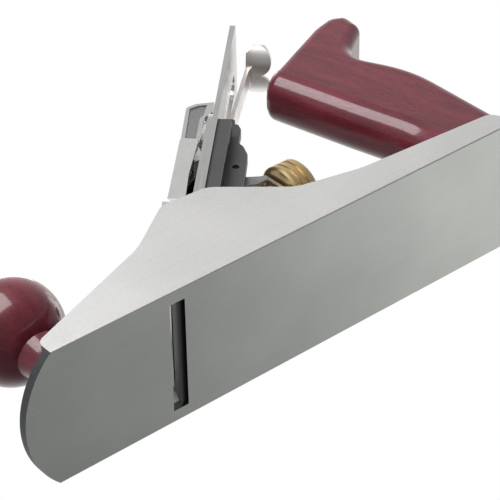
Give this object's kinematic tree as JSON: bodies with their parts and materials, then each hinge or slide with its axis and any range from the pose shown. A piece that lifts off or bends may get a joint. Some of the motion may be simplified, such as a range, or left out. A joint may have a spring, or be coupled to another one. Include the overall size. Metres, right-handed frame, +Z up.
{
  "type": "hand plane",
  "caption": "Metal smoothing plane with lacquered knob and handle, frog, cap iron, lever cap with cam lever, depth wheel and lateral lever.",
  "frame": {"origin": "middle of the plane's bounding box, on the plane of the sole", "axes": "+X from toe to heel, +Y towards the right cheek when the plane is pushed (the user stands at the heel looking to the toe; the pictured cheek faces -Y), +Z up from the sole"},
  "size_m": [0.2856, 0.063, 0.1534],
  "materials": {
    "body": "ground bright sole and cheeks, fine lengthwise grinding",
    "frog": "satin dark grey paint",
    "blade_steel": "ground tool steel",
    "plated": "bright plating",
    "nickel": "warm nickel-plated pressing",
    "brass": "turned brass",
    "screw_steel": "plain steel",
    "spring_steel": "dark spring steel",
    "lacquered_wood": "burgundy gloss lacquer over straight-grained hardwood"
  },
  "bodies": {
    "base": {"body": "body", "frog_screws": "screw_steel", "frog_washers": "screw_steel", "knob": "lacquered_wood", "knob_bolt": "screw_steel", "knob_nut": "brass", "tote": "lacquered_wood", "tote_bolt": "screw_steel", "tote_nut": "brass"},
    "frog_body": {"frog": "frog", "frog_clip": "screw_steel", "frog_clip_screw": "screw_steel", "lever_cap_screw": "plated", "lateral_rivet": "screw_steel", "yoke_pin": "screw_steel", "depth_stud": "screw_steel"},
    "frog_adjuster": {"frog_adjusting_screw": "screw_steel"},
    "wheel": {"depth_wheel": "brass"},
    "yoke_body": {"yoke": "screw_steel"},
    "feed": {"cap_iron_screw": "screw_steel"},
    "iron": {"cutting_iron": "blade_steel", "cap_iron": "blade_steel"},
    "lateral": {"lateral_lever": "nickel", "lateral_roller": "screw_steel", "roller_stud": "screw_steel"},
    "lever_cap_body": {"lever_cap": "plated", "lever_cap_spring": "spring_steel", "spring_rivet": "screw_steel", "cam_pin": "plated"},
    "cam": {"cam_lever": "plated"}
  },
  "joints": [
    {"name": "frog_shift", "type": "slide", "parent": "base", "child": "frog_body", "axis": [1, 0, 0], "range_m": [-0.0012, 0.0003]},
    {"name": "frog_adjuster_turn", "type": "hinge", "parent": "frog_body", "child": "frog_adjuster", "pos_m": [-0.01925, 0, 0.0098], "axis": [1, 0, 0], "range_deg": [-541, 136]},
    {"name": "depth_wheel_turn", "type": "hinge", "parent": "frog_body", "child": "wheel", "pos_m": [0.03565, 0, 0.0567], "axis": [1, 0, 0], "range_deg": [-361, 361]},
    {"name": "yoke_swing", "type": "hinge", "parent": "frog_body", "child": "yoke_body", "pos_m": [0.01603, 0, 0.06972], "axis": [0, -1, 0], "range_deg": [-3.32, 3.32]},
    {"name": "iron_feed", "type": "slide", "parent": "frog_body", "child": "feed", "axis": [0.7071, 0, 0.7071], "range_m": [-0.0008, 0.0008]},
    {"name": "iron_tilt", "type": "hinge", "parent": "feed", "child": "iron", "pos_m": [-0.00674, 0, 0.06081], "axis": [-0.7071, 0, 0.7071], "range_deg": [-0.36, 0.36]},
    {"name": "lateral_swing", "type": "hinge", "parent": "frog_body", "child": "lateral", "pos_m": [0.03003, 0, 0.09758], "axis": [-0.7071, 0, 0.7071], "range_deg": [-3, 3]},
    {"name": "lever_cap_slide", "type": "slide", "parent": "frog_body", "child": "lever_cap_body", "axis": [0.7071, 0, 0.7071], "range_m": [0, 0.011]},
    {"name": "cam_lever_swing", "type": "hinge", "parent": "lever_cap_body", "child": "cam", "pos_m": [0.00917, 0, 0.09115], "axis": [0, -1, 0], "range_deg": [0, 80]}
  ],
  "couplings": [
    {"joint": "frog_adjuster_turn", "follows": "frog_shift", "rad_per_m": 7854},
    {"joint": "depth_wheel_turn", "follows": "iron_feed", "rad_per_m": -7854},
    {"joint": "yoke_swing", "follows": "iron_feed", "rad_per_m": -72},
    {"joint": "iron_tilt", "follows": "lateral_swing", "ratio": 0.11667}
  ]
}
